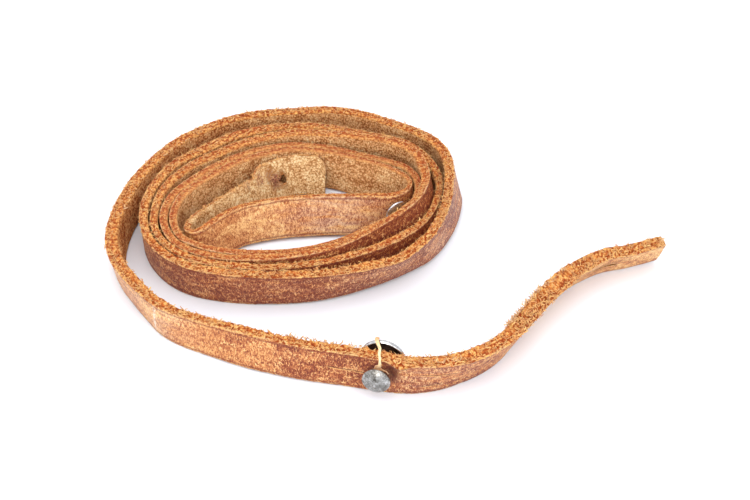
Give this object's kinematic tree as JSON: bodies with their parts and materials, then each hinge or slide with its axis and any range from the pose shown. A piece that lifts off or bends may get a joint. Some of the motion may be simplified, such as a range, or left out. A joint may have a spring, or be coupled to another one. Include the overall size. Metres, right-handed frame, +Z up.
{
  "type": "leather strap with button studs",
  "caption": "Narrow flat leather strap lying on edge in a loose oval coil with a free tail; a domed metal button stud and a slit button hole near each end.",
  "frame": {"origin": "middle of the underside of the whole coiled strap's bounding box, on the ground that it lies on", "axes": "+X along the longest extent, from the coil towards the free end of the tail; +Z up from the ground, across the strap's width; +Y from the tail with its stud towards the far side of the coil"},
  "size_m": [0.1353, 0.1046, 0.0123],
  "materials": {
    "leather": "oiled full-grain, mottled reddish brown, with raw tan flesh side and cut edges",
    "stud_head": "aged nickel plate, dulled and lightly dented",
    "stud_base": "bright rim with a tarnished brown dish"
  },
  "bodies": {
    "strap": {"strap": "leather"},
    "tail_stud": {"tail_stud_head": "stud_head", "tail_stud_base": "stud_base"},
    "inner_stud": {"inner_stud_head": "stud_head", "inner_stud_base": "stud_base"}
  },
  "joints": [
    {"name": "tail_stud_spin", "type": "hinge", "parent": "strap", "child": "tail_stud", "pos_m": [-0.00144, -0.04696, 0.0055], "axis": [-0.2079, -0.9781, 0], "continuous": true},
    {"name": "inner_stud_spin", "type": "hinge", "parent": "strap", "child": "inner_stud", "pos_m": [0.00243, 0.01294, 0.0057], "axis": [0.4384, -0.8988, 0], "continuous": true}
  ]
}
